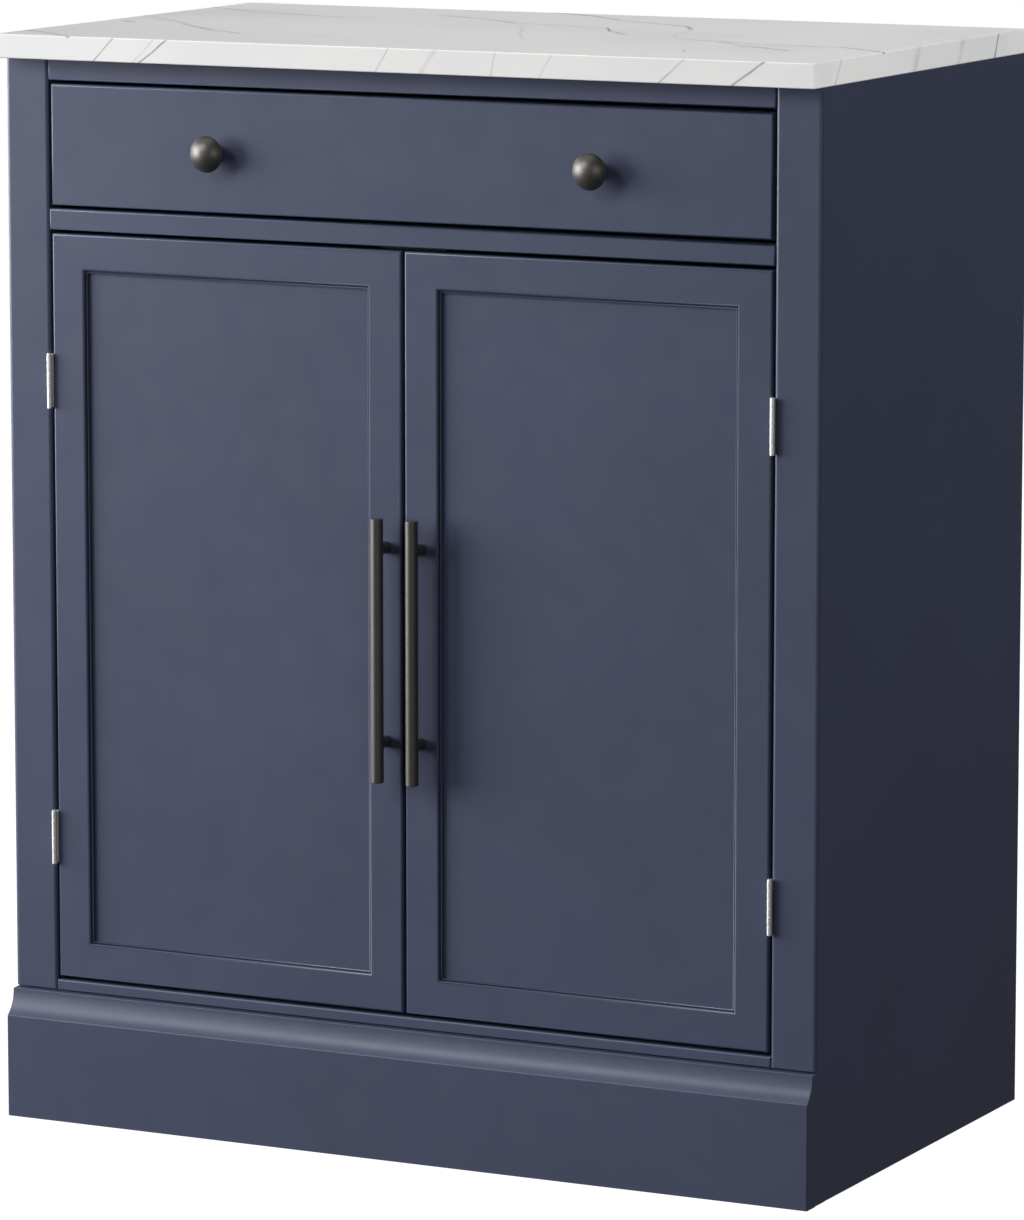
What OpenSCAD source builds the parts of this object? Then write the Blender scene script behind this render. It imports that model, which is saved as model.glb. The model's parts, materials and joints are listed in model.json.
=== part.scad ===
// Free-standing kitchen island cabinet: a face-frame carcass with a stone-look worktop,
// one full-width drawer on telescopic slides and a pair of inset doors on butt hinges.
// Built in cabinet axes: x across, y = 0 on the face frame and growing to the rear, z = 0 on the floor.

/* [Overall] */
// Width across the side panels
body_w = 740; // [640:10:900]
// Height from the floor to the top of the worktop
total_h = 914.4; // [900:0.2:960]
// Depth from the face frame to the rear edge of the sides
body_d = 419; // [419:1:520]

/* [Worktop] */
// Thickness of the worktop
top_t = 20; // [16:1:30]
// Overhang of the worktop in front of the face frame
top_overhang = 17; // [12:0.5:20]

/* [Boards] */
// Thickness of the face frame, doors and drawer front
face_t = 18; // [16:0.5:20]
// Thickness of the sides, shelf and other panels
panel_t = 16; // [15:0.5:18]
// Thickness of the back board
back_t = 5; // [3:0.5:6]
// Distance from the rear edge of the sides to the back board
back_inset = 3; // [1:0.5:8]
// Depth of the groove that holds the back board
back_groove = 6; // [4:0.5:8]

/* [Face frame] */
// Width of each stile
stile_w = 40; // [36:1:50]
// Height of the rail under the worktop
top_rail_h = 18; // [16:0.5:24]
// Height of the rail between drawer and doors
mid_rail_h = 17.5; // [16.5:0.5:24]
// Gap above and below the doors and the drawer front
reveal = 3; // [2:0.1:4]
// Gap between a door or the drawer front and a stile
side_gap = 2.5; // [2.5:0.1:3]
// Gap between the two doors
door_gap = 3; // [2:0.5:4]

/* [Plinth] */
// Height of the plinth to the top of its cove
plinth_h = 108.5; // [106:0.5:112]
// Projection of the plinth's flat face
plinth_reach = 16.3; // [14:0.1:18]
// Width of the ledge at the top of the cove
plinth_ledge = 5.8; // [4:0.1:8]
// Radius of the cove
cove_r = 28; // [26:1:32]

/* [Drawer] */
// Height of the drawer front
drawer_front_h = 100.4; // [98:0.2:110]
// Length of the drawer box behind its front
drawer_l = 350; // [300:10:350]
// Height of the drawer sides
drawer_side_h = 72; // [66:1:76]
// Thickness of the drawer sides and back
drawer_side_t = 12; // [10:0.5:14]
// Thickness of the drawer bottom
drawer_bottom_t = 5; // [4:0.5:6]
// Height of a slide
slide_h = 45; // [42:1:46]
// Space that a slide takes between drawer side and packer
slide_t = 12.7; // [12.4:0.1:13]

/* [Doors] */
// Height of a door
door_h = 628; // [600:1:628]
// Width of the door frame's stiles and rails
door_frame_w = 32; // [30:1:60]
// Depth of the recessed field
field_recess = 5; // [3:0.5:6]
// Thickness of the door panel
field_t = 9; // [6:0.5:10]
// Depth of the groove that holds the door panel
field_groove = 8; // [5:0.5:10]

/* [Knobs] */
// Diameter of a knob
knob_d = 30; // [26:0.5:32]
// Reach of a knob in front of the drawer
knob_reach = 21.6; // [21.4:0.2:26]
// Distance of a knob from the centre line
knob_x = 173.5; // [120:0.5:220]

/* [Handles] */
// Diameter of a handle bar
bar_d = 10.4; // [8:0.2:11]
// Length of a handle bar
bar_l = 217.4; // [200:0.2:260]
// Distance from the door face to the bar's axis
bar_standoff = 15.8; // [15:0.1:16]
// Distance of the bar's axis from the cabinet's centre line
bar_x = 15.9; // [14:0.1:20]
// Height of the bar's lower end above the floor
bar_z = 315.4; // [300:0.2:340]
// Distance between the two posts
post_pitch = 160; // [128:32:192]
// Height of the lower post above the bar's lower end
post_rise = 32; // [15:0.5:34]
// Diameter of a post
post_d = 10; // [6:0.2:10]

/* [Hinges] */
// Length of a hinge
hinge_l = 44.5; // [38:0.5:60]
// Outer diameter of the hinge barrel
barrel_d = 4.6; // [4.2:0.1:4.8]
// Diameter of the hinge pin
pin_d = 2.4; // [2:0.1:2.6]
// Number of knuckles on a hinge
knuckles = 6; // [4:2:8]
// Distance from the top of a door to the middle of its upper hinge
hinge_top_inset = 122.8; // [80:0.2:160]
// Distance from the bottom of a door to the middle of its lower hinge
hinge_bottom_inset = 119.4; // [80:0.2:160]

/* [Shelf] */
// Height of the shelf's underside above the floor
shelf_z = 427.5; // [380:0.5:480]
// Pitch of the shelf pin holes
pin_pitch = 32; // [25:1:40]
// Holes above and below the one in use
pin_steps = 2; // [1:1:3]

/* [Hidden] */

$fn = 64;
left = -1;
right = 1;

// Colours
paint = [0.33, 0.35, 0.44];
marble = [0.88, 0.88, 0.87];
birch = [0.80, 0.68, 0.50];
gunmetal = [0.23, 0.22, 0.21];
nickel = [0.78, 0.78, 0.76];
zinc = [0.66, 0.68, 0.70];
catch_plastic = [0.16, 0.15, 0.14];

// The row frame has its origin in the middle of the whole depth, knobs included.
face_y = knob_reach - (body_d + knob_reach) / 2;

// Heights, from the worktop down
body_h = total_h - top_t;
top_rail_z = body_h - top_rail_h;
drawer_front_z = top_rail_z - reveal - drawer_front_h;
mid_rail_top = drawer_front_z - reveal;
mid_rail_z = mid_rail_top - mid_rail_h;
door_top = mid_rail_z - reveal;
door_z = door_top - door_h;
floor_top = door_z - reveal;

// Widths, as half widths from the centre line
half_w = body_w / 2;
inner_w = half_w - panel_t;
opening_w = half_w - stile_w;
front_w = opening_w - side_gap;
field_w = front_w - door_frame_w;
lock_x = door_gap / 2;
back_y = body_d - back_inset - back_t;

// Drawer box and slides
drawer_w = opening_w - slide_t;
slide_z = drawer_front_z + 42;
slide_metal = 1.2;
slide_front = face_t + 2;
drawer_side_z = drawer_front_z + 10;
drawer_bottom_z = drawer_side_z + 7;
drawer_groove = 5;
drawer_rear = face_t + drawer_l;

// Hinges: the barrel stands just in front of the gap, the leaves fill it.
barrel_x = opening_w - 0.4;
barrel_y = -2.7;
leaf_t = 1.1;
leaf_depth = 15;
leaf_front = 0.2;
knuckle_gap = 0.3;
knuckle_l = hinge_l / knuckles;
pin_play = 0.05;
pin_cap_h = 0.6;
hinge_heights = [door_z + hinge_bottom_inset, door_top - hinge_top_inset];
leaf_screw_y = 8.6;
leaf_screw_pitch = 28;

// Screws
wood_screw_r = 1.5;
wood_head_r = 2.9;
wood_screw_l = 14;
machine_r = 2;
machine_head_r = 4;
machine_head_h = 2.2;
machine_bite = 8;
screw_play = 0.2;
top_screw_r = 2;
top_head_r = 4;
top_screw_l = 30;

// Small fittings
pin_hole_r = 2.5;
pin_hole_depth = 9;
pin_reach = 9;
shelf_pin_play = 0.05;
pin_collar_r = 4;
pin_collar_t = 1.3;
pin_front_y = 70;
pin_rear_y = 360;
shelf_front = 40;
stretcher_d = 60;
strike_t = 1.5;
strike_w = 20;
strike_h = 12;
strike_x = 5;
catch_w = 60;
catch_d = 16;
catch_h = 13;
catch_gap = 0.3;

// Places a left or right piece, drawn for the right-hand side, in the row frame.
module sided(side) {
    translate([0, face_y, 0])
        mirror([side < 0 ? 1 : 0, 0, 0])
            children();
}

// Places a piece on the centre line in the row frame.
module centred() {
    translate([0, face_y, 0])
        children();
}

// A board between two corners.
module board(low, high) {
    translate(low)
        cube(high - low);
}

// A countersunk screw along +x, its head flush with x = 0.
module countersunk(head_r, shank_r, length, play = 0) {
    rotate([0, 90, 0]) {
        cylinder(h = head_r - shank_r, r1 = head_r + play, r2 = shank_r + play);
        cylinder(h = length, r = shank_r + play);
    }
}

// A pan-head machine screw along -y, its head on the face y = 0.
module pan_screw(length) {
    rotate([90, 0, 0])
        cylinder(h = length, r = machine_r);
    rotate([-90, 0, 0])
        cylinder(h = machine_head_h, r = machine_head_r);
}

// ---------------------------------------------------------------- carcass

module countertop() {
    color(marble)
        centred()
            board([-half_w, -top_overhang, body_h], [half_w, body_d, total_h]);
}

module side_panel() {
    color(paint)
        difference() {
            board([inner_w, face_t, 0], [half_w, body_d, body_h]);
            board([inner_w - 1, back_y, 10], [inner_w + back_groove, back_y + back_t, body_h + 1]);
            for (y = [pin_front_y, pin_rear_y], step = [-pin_steps:pin_steps])
                translate([inner_w - 1, y, shelf_z - pin_hole_r + step * pin_pitch])
                    rotate([0, 90, 0])
                        cylinder(h = pin_hole_depth + 1, r = pin_hole_r);
        }
}

module left_side_panel() {
    sided(left)
        side_panel();
}

module right_side_panel() {
    sided(right)
        side_panel();
}

module face_stile() {
    color(paint)
        board([opening_w, 0, 0], [half_w, face_t, body_h]);
}

module left_face_stile() {
    sided(left)
        face_stile();
}

module right_face_stile() {
    sided(right)
        face_stile();
}

// Places of the screws that pull the worktop down, on the rail and on the rear stretcher
top_screws = [for (x = [-250, 250], y = [face_t / 2, back_y - stretcher_d / 2]) [x, y]];

module top_screw_set(play) {
    for (p = top_screws)
        translate([p[0], p[1], top_rail_z])
            rotate([0, -90, 0])
                countersunk(top_head_r, top_screw_r, top_screw_l, play);
}

module top_face_rail() {
    color(paint)
        centred()
            difference() {
                board([-opening_w, 0, top_rail_z], [opening_w, face_t, body_h]);
                top_screw_set(screw_play);
            }
}

module mid_face_rail() {
    color(paint)
        centred()
            board([-opening_w, 0, mid_rail_z], [opening_w, face_t, mid_rail_top]);
}

module bottom_face_rail() {
    color(paint)
        centred()
            board([-opening_w, 0, 0], [opening_w, face_t, floor_top]);
}

module drawer_divider() {
    color(paint)
        centred()
            board([-inner_w, face_t, mid_rail_z], [inner_w, back_y, mid_rail_z + panel_t]);
}

module bottom_panel() {
    color(paint)
        centred()
            board([-inner_w, face_t, floor_top - panel_t], [inner_w, back_y, floor_top]);
}

module back_panel() {
    color(paint)
        centred()
            board(
                [-inner_w - back_groove + 0.5, back_y, 10.5],
                [inner_w + back_groove - 0.5, back_y + back_t, body_h - 0.5]
            );
}

module rear_stretcher() {
    color(paint)
        centred()
            difference() {
                board([-inner_w, back_y - stretcher_d, top_rail_z], [inner_w, back_y, body_h]);
                top_screw_set(screw_play);
            }
}

module rear_toe_board() {
    color(paint)
        centred()
            board([-inner_w, back_y - panel_t, 0], [inner_w, back_y, floor_top - panel_t]);
}

// A planted skirting board: flat below, with a cove running up to a narrow ledge.
module plinth() {
    color(paint)
        centred()
            rotate([90, 0, 90])
                translate([0, 0, -half_w])
                    linear_extrude(body_w)
                        difference() {
                            translate([-plinth_reach, 0])
                                square([plinth_reach, plinth_h]);
                            translate([-plinth_ledge - cove_r, plinth_h])
                                circle(cove_r);
                        }
}

module shelf() {
    color(paint)
        centred()
            board(
                [-inner_w + pin_collar_t + 0.2, shelf_front, shelf_z],
                [inner_w - pin_collar_t - 0.2, back_y - 2, shelf_z + panel_t]
            );
}

module shelf_pins() {
    color(nickel)
        for (side = [left, right], y = [pin_front_y, pin_rear_y])
            sided(side)
                translate([inner_w, y, shelf_z - pin_hole_r + shelf_pin_play])
                    rotate([0, 90, 0]) {
                        translate([0, 0, -pin_reach])
                            cylinder(h = pin_reach + pin_hole_depth - 1, r = pin_hole_r - shelf_pin_play);
                        translate([0, 0, -pin_collar_t])
                            cylinder(h = pin_collar_t, r = pin_collar_r);
                    }
}

module countertop_screws() {
    color(zinc)
        centred()
            top_screw_set(0);
}

// ---------------------------------------------------------------- drawer slides

module slide_spacer() {
    color(birch)
        board(
            [opening_w, face_t, slide_z - slide_h / 2],
            [inner_w, face_t + drawer_l + 4, slide_z + slide_h / 2]
        );
}

module left_slide_spacer() {
    sided(left)
        slide_spacer();
}

module right_slide_spacer() {
    sided(right)
        slide_spacer();
}

// Extrudes a slide section, drawn in x and height about the slide's middle, from y0 to y1.
module slide_run(y0, y1) {
    translate([0, y1, slide_z])
        rotate([90, 0, 0])
            linear_extrude(y1 - y0)
                children();
}

// Channel section with its web at x = web_x and its flanges turned towards -x or +x.
module channel(web_x, tip_x, height, metal) {
    low_x = min(web_x, tip_x);
    web_low = web_x > tip_x ? web_x - metal : web_x;
    translate([web_low, -height / 2])
        square([metal, height]);
    for (z = [-height / 2, height / 2 - metal])
        translate([low_x, z])
            square([abs(web_x - tip_x), metal]);
}

outer_tip = opening_w - 11;
middle_web = opening_w - 2.4;
middle_tip = opening_w - 9.2;
inner_tip = opening_w - 4.4;
middle_h = slide_h - 9;
inner_h = slide_h - 16;
outer_lip = 2.5;

module slide_outer() {
    color(zinc)
        slide_run(slide_front, face_t + drawer_l) {
            channel(opening_w, outer_tip, slide_h, slide_metal);
            for (z = [-slide_h / 2, slide_h / 2 - outer_lip - slide_metal])
                translate([outer_tip, z])
                    square([slide_metal, outer_lip + slide_metal]);
        }
}

module left_slide_outer() {
    sided(left)
        slide_outer();
}

module right_slide_outer() {
    sided(right)
        slide_outer();
}

module slide_middle() {
    color(zinc)
        slide_run(slide_front + 2, face_t + drawer_l - 2)
            channel(middle_web, middle_tip, middle_h, slide_metal);
}

module left_slide_middle() {
    sided(left)
        slide_middle();
}

module right_slide_middle() {
    sided(right)
        slide_middle();
}

module slide_inner() {
    color(zinc)
        slide_run(face_t + 0.5, face_t + drawer_l)
            channel(drawer_w, inner_tip, inner_h, slide_metal);
}

module left_slide_inner() {
    sided(left)
        slide_inner();
}

module right_slide_inner() {
    sided(right)
        slide_inner();
}

// ---------------------------------------------------------------- drawer

knob_z = drawer_front_z + 49;

module drawer_front() {
    color(paint)
        centred()
            difference() {
                board([-front_w, 0, drawer_front_z], [front_w, face_t, drawer_front_z + drawer_front_h]);
                board(
                    [-drawer_w + drawer_side_t - drawer_groove, face_t - drawer_groove, drawer_bottom_z],
                    [drawer_w - drawer_side_t + drawer_groove, face_t + 1, drawer_bottom_z + drawer_bottom_t]
                );
                for (x = [-knob_x, knob_x])
                    translate([x, face_t / 2, knob_z])
                        rotate([90, 0, 0])
                            cylinder(h = face_t + 2, r = machine_r + screw_play, center = true);
            }
}

module drawer_side() {
    color(birch)
        difference() {
            board(
                [drawer_w - drawer_side_t, face_t, drawer_side_z],
                [drawer_w, drawer_rear, drawer_side_z + drawer_side_h]
            );
            board(
                [drawer_w - drawer_side_t - 1, face_t - 1, drawer_bottom_z],
                [drawer_w - drawer_side_t + drawer_groove, drawer_rear + 1, drawer_bottom_z + drawer_bottom_t]
            );
        }
}

module drawer_left_side() {
    sided(left)
        drawer_side();
}

module drawer_right_side() {
    sided(right)
        drawer_side();
}

module drawer_back() {
    color(birch)
        centred()
            board(
                [-drawer_w + drawer_side_t, drawer_rear - drawer_side_t, drawer_bottom_z + drawer_bottom_t],
                [drawer_w - drawer_side_t, drawer_rear, drawer_side_z + drawer_side_h]
            );
}

module drawer_bottom() {
    color(birch)
        centred()
            board(
                [-drawer_w + drawer_side_t - drawer_groove + 0.3, face_t - drawer_groove + 0.3, drawer_bottom_z],
                [drawer_w - drawer_side_t + drawer_groove - 0.3, drawer_rear, drawer_bottom_z + drawer_bottom_t]
            );
}

// Mushroom knob: a foot, a waisted neck and a spherical cap.
knob_foot_r = 8;
knob_foot_h = 2;
knob_neck_r = 5.5;
cap_rim_h = 12.6;
cap_under_h = 9.5;
cap_rise = knob_reach - cap_rim_h;
cap_r = ((knob_d / 2) * (knob_d / 2) + cap_rise * cap_rise) / (2 * cap_rise);

module knob() {
    color(gunmetal)
        translate([knob_x, 0, knob_z])
            rotate([90, 0, 0])
                rotate_extrude()
                    difference() {
                        union() {
                            square([knob_foot_r, knob_foot_h]);
                            square([knob_neck_r, cap_rim_h]);
                            polygon([
                                [0, cap_under_h],
                                [knob_neck_r, cap_under_h],
                                [knob_d / 2, cap_rim_h],
                                [0, cap_rim_h],
                            ]);
                            intersection() {
                                translate([0, knob_reach - cap_r])
                                    circle(cap_r);
                                translate([0, cap_rim_h])
                                    square([knob_d / 2, cap_rise]);
                            }
                        }
                        translate([-1, -1])
                            square([machine_r + 1, machine_bite + 1]);
                    }
}

module left_knob() {
    sided(left)
        knob();
}

module right_knob() {
    sided(right)
        knob();
}

module knob_screws() {
    color(zinc)
        for (side = [left, right])
            sided(side)
                translate([knob_x, face_t, knob_z])
                    pan_screw(face_t + machine_bite);
}

// ---------------------------------------------------------------- doors

// A door frame member between two corners, with a groove or a stub tenon added by its callers.
field_front = field_recess;
field_rear = field_recess + field_t;

module door_stile(x0, x1, groove_x0, groove_x1) {
    difference() {
        board([x0, 0, door_z], [x1, face_t, door_top]);
        board([groove_x0, field_front, door_z - 1], [groove_x1, field_rear, door_top + 1]);
    }
}

module door_hinge_stile() {
    color(paint)
        door_stile(field_w, front_w, field_w - 1, field_w + field_groove);
}

module left_door_hinge_stile() {
    sided(left)
        door_hinge_stile();
}

module right_door_hinge_stile() {
    sided(right)
        door_hinge_stile();
}

lock_inner_x = lock_x + door_frame_w;
post_heights = [bar_z + post_rise, bar_z + post_rise + post_pitch];

module door_lock_stile() {
    color(paint)
        difference() {
            door_stile(lock_x, lock_inner_x, lock_inner_x - field_groove, lock_inner_x + 1);
            for (z = post_heights)
                translate([bar_x, face_t / 2, z])
                    rotate([90, 0, 0])
                        cylinder(h = face_t + 2, r = machine_r + screw_play, center = true);
        }
}

module left_door_lock_stile() {
    sided(left)
        door_lock_stile();
}

module right_door_lock_stile() {
    sided(right)
        door_lock_stile();
}

// A rail between the stiles, with stub tenons that fill the stiles' grooves.
module door_rail(z0, z1, groove_z0, groove_z1) {
    color(paint)
        difference() {
            union() {
                board([lock_inner_x, 0, z0], [field_w, face_t, z1]);
                board(
                    [lock_inner_x - field_groove, field_front, z0],
                    [field_w + field_groove, field_rear, z1]
                );
            }
            board(
                [lock_inner_x - field_groove - 1, field_front, groove_z0],
                [field_w + field_groove + 1, field_rear, groove_z1]
            );
        }
}

module door_top_rail() {
    door_rail(door_top - door_frame_w, door_top, door_top - door_frame_w - 1, door_top - door_frame_w + field_groove);
}

module left_door_top_rail() {
    sided(left)
        door_top_rail();
}

module right_door_top_rail() {
    sided(right)
        door_top_rail();
}

module door_bottom_rail() {
    door_rail(door_z, door_z + door_frame_w, door_z + door_frame_w - field_groove, door_z + door_frame_w + 1);
}

module left_door_bottom_rail() {
    sided(left)
        door_bottom_rail();
}

module right_door_bottom_rail() {
    sided(right)
        door_bottom_rail();
}

field_play = 0.5;

module door_panel() {
    reach = field_groove - field_play;
    color(paint)
        board(
            [lock_inner_x - reach, field_front, door_z + door_frame_w - reach],
            [field_w + reach, field_rear, door_top - door_frame_w + reach]
        );
}

module left_door_panel() {
    sided(left)
        door_panel();
}

module right_door_panel() {
    sided(right)
        door_panel();
}

// ---------------------------------------------------------------- door handles

module bar_solid() {
    translate([bar_x, -bar_standoff, bar_z])
        cylinder(h = bar_l, r = bar_d / 2);
}

module handle_bar() {
    color(gunmetal)
        bar_solid();
}

module left_handle_bar() {
    sided(left)
        handle_bar();
}

module right_handle_bar() {
    sided(right)
        handle_bar();
}

// Two posts, saddle-cut to the bar and drilled for their screws.
module handle_posts() {
    color(gunmetal)
        for (z = post_heights)
            difference() {
                translate([bar_x, 0, z])
                    rotate([90, 0, 0])
                        cylinder(h = bar_standoff, r = post_d / 2);
                bar_solid();
                translate([bar_x, 1, z])
                    rotate([90, 0, 0])
                        cylinder(h = machine_bite + 1, r = machine_r);
            }
}

module left_handle_posts() {
    sided(left)
        handle_posts();
}

module right_handle_posts() {
    sided(right)
        handle_posts();
}

module handle_screws() {
    color(zinc)
        for (z = post_heights)
            translate([bar_x, face_t, z])
                pan_screw(face_t + machine_bite);
}

module left_handle_screws() {
    sided(left)
        handle_screws();
}

module right_handle_screws() {
    sided(right)
        handle_screws();
}

// ---------------------------------------------------------------- hinges

// Screws of one leaf, driven along +x from x = 0.
module leaf_screw_set(x, play) {
    for (middle = hinge_heights, dz = [-leaf_screw_pitch / 2, leaf_screw_pitch / 2])
        translate([x, leaf_screw_y, middle + dz])
            countersunk(wood_head_r, wood_screw_r, wood_screw_l, play);
}

// A pair of leaves, upper and lower: a plate from x0 to x0 + leaf_t, tabs and every second knuckle.
module hinge_leaves(x0, first, bore_r) {
    for (middle = hinge_heights)
        translate([0, 0, middle - hinge_l / 2])
            difference() {
                union() {
                    board([x0, leaf_front, 0], [x0 + leaf_t, leaf_front + leaf_depth, hinge_l]);
                    for (k = [first:2:knuckles - 1]) {
                        z0 = k * knuckle_l + knuckle_gap / 2;
                        z1 = (k + 1) * knuckle_l - knuckle_gap / 2;
                        board([x0, barrel_y, z0], [x0 + leaf_t, leaf_front + 1, z1]);
                        translate([barrel_x, barrel_y, z0])
                            cylinder(h = z1 - z0, r = barrel_d / 2);
                    }
                }
                translate([barrel_x, barrel_y, -1])
                    cylinder(h = hinge_l + 2, r = bore_r);
            }
}

module frame_leaves() {
    color(nickel)
        difference() {
            hinge_leaves(opening_w - leaf_t, 0, pin_d / 2);
            leaf_screw_set(opening_w - leaf_t, screw_play / 2);
        }
}

module left_frame_leaves() {
    sided(left)
        frame_leaves();
}

module right_frame_leaves() {
    sided(right)
        frame_leaves();
}

module door_leaves() {
    color(nickel)
        difference() {
            hinge_leaves(front_w, 1, pin_d / 2 + pin_play);
            translate([2 * (front_w + leaf_t), 0, 0])
                mirror([1, 0, 0])
                    leaf_screw_set(front_w + leaf_t, screw_play / 2);
        }
}

module left_door_leaves() {
    sided(left)
        door_leaves();
}

module right_door_leaves() {
    sided(right)
        door_leaves();
}

module hinge_pins() {
    color(nickel)
        for (side = [left, right], middle = hinge_heights)
            sided(side)
                translate([barrel_x, barrel_y, middle]) {
                    cylinder(h = hinge_l + 2 * pin_cap_h, r = pin_d / 2, center = true);
                    for (end = [-1, 1])
                        translate([0, 0, end * (hinge_l + pin_cap_h) / 2 - end * knuckle_gap / 4])
                            cylinder(h = pin_cap_h + knuckle_gap / 2, r = barrel_d / 2 - 0.4, center = true);
                }
}

module frame_leaf_screws() {
    color(nickel)
        for (side = [left, right])
            sided(side)
                leaf_screw_set(opening_w - leaf_t, 0);
}

module leaf_screws() {
    color(nickel)
        translate([2 * (front_w + leaf_t), 0, 0])
            mirror([1, 0, 0])
                leaf_screw_set(front_w + leaf_t, 0);
}

module left_leaf_screws() {
    sided(left)
        leaf_screws();
}

module right_leaf_screws() {
    sided(right)
        leaf_screws();
}

// ---------------------------------------------------------------- catch

module strike_plate() {
    color(nickel)
        board(
            [strike_x, face_t, door_top - 1 - strike_h],
            [strike_x + strike_w, face_t + strike_t, door_top - 1]
        );
}

module left_strike_plate() {
    sided(left)
        strike_plate();
}

module right_strike_plate() {
    sided(right)
        strike_plate();
}

module magnetic_catch() {
    front = face_t + strike_t + catch_gap;
    color(catch_plastic)
        centred()
            board([-catch_w / 2, front, mid_rail_z - catch_h], [catch_w / 2, front + catch_d, mid_rail_z]);
}

countertop();
left_side_panel();
right_side_panel();
left_face_stile();
right_face_stile();
top_face_rail();
mid_face_rail();
bottom_face_rail();
drawer_divider();
bottom_panel();
back_panel();
rear_stretcher();
plinth();
rear_toe_board();
shelf();
shelf_pins();
left_slide_spacer();
right_slide_spacer();
left_slide_outer();
right_slide_outer();
left_frame_leaves();
right_frame_leaves();
hinge_pins();
frame_leaf_screws();
magnetic_catch();
countertop_screws();
left_slide_middle();
right_slide_middle();
drawer_front();
drawer_left_side();
drawer_right_side();
drawer_back();
drawer_bottom();
left_slide_inner();
right_slide_inner();
left_knob();
right_knob();
knob_screws();
left_door_hinge_stile();
left_door_lock_stile();
left_door_top_rail();
left_door_bottom_rail();
left_door_panel();
left_handle_bar();
left_handle_posts();
left_handle_screws();
left_door_leaves();
left_leaf_screws();
left_strike_plate();
right_door_hinge_stile();
right_door_lock_stile();
right_door_top_rail();
right_door_bottom_rail();
right_door_panel();
right_handle_bar();
right_handle_posts();
right_handle_screws();
right_door_leaves();
right_leaf_screws();
right_strike_plate();
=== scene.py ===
import json
import math

import bmesh
import bpy
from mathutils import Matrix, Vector

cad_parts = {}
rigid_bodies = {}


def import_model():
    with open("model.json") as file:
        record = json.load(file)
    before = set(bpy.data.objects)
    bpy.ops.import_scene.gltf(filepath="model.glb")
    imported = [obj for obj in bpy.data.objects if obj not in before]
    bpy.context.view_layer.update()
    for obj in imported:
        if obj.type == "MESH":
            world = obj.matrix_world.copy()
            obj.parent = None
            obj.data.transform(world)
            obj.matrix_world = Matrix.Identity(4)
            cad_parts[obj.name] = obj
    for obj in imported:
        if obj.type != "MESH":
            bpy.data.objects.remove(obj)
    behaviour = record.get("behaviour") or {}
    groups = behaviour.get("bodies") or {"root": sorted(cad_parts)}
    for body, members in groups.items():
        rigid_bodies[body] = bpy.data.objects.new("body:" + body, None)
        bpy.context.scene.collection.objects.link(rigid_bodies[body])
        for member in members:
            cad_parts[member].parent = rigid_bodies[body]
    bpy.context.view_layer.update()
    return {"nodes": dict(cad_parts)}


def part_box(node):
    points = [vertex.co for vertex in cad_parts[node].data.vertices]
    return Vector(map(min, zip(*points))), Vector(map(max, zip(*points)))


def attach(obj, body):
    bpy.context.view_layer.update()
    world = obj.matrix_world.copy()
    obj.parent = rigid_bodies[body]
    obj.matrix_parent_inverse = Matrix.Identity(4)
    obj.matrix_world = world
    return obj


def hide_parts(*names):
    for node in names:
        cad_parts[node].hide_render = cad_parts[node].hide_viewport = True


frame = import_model()

mm = 0.001
smoothUpTo = 32                  # degrees between faces that are still shaded as one
sideNames = ("left", "right")
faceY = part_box("left_face_stile")[0].y      # front of the face frame
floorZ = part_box("left_face_stile")[0].z


# small tools for meshes

def boxOf(*nodes):
    corners = [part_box(node) for node in nodes]
    low = Vector(min(c[0][axis] for c in corners) for axis in range(3))
    high = Vector(max(c[1][axis] for c in corners) for axis in range(3))
    return low, high


def newObject(name, mesh):
    made = bpy.data.objects.new(name, mesh)
    bpy.context.scene.collection.objects.link(made)
    return made


def objectFrom(name, bm, material, sharpAngle=None):
    # turns a bmesh into an object; with a sharp angle, flatter edges than that are shaded smooth
    bmesh.ops.recalc_face_normals(bm, faces=bm.faces)
    for face in bm.faces:
        face.smooth = True
    mesh = bpy.data.meshes.new(name)
    bm.to_mesh(mesh)
    bm.free()
    mesh.materials.append(material)
    if sharpAngle is not None:
        mesh.set_sharp_from_angle(angle=math.radians(sharpAngle))
    return newObject(name, mesh)


def weighNormals(piece):
    # wide flat faces keep their own normal where they meet a rounded edge
    weigh = piece.modifiers.new("weighNormals", "WEIGHTED_NORMAL")
    weigh.keep_sharp = True
    weigh.weight = 100
    return piece


def place(piece, body, slotName, *nodes):
    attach(piece, body)
    if nodes:
        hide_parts(*nodes)
    return piece


# each side of a board as (axis, which end of it)
boardSides = {
    "left": (0, 0), "right": (0, 1), "front": (1, 0), "rear": (1, 1), "bottom": (2, 0), "top": (2, 1),
}


def easeOf(edge, centre, eased):
    # radius for one edge: its own entry, such as "left front", or that of a side that it belongs to
    touching = [
        name for name, (axis, end) in boardSides.items()
        if all((v.co[axis] > centre[axis]) == bool(end) for v in edge.verts)
    ]
    return eased.get(" ".join(touching), max(eased.get(name, 0) for name in touching))


def roundByWeight(piece, radius, segments=3):
    bevel = piece.modifiers.new("easedEdges", "BEVEL")
    bevel.limit_method = "WEIGHT"
    bevel.offset_type = "OFFSET"
    bevel.width = radius
    bevel.segments = segments
    bevel.harden_normals = True
    bevel.use_clamp_overlap = True
    return piece


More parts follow.
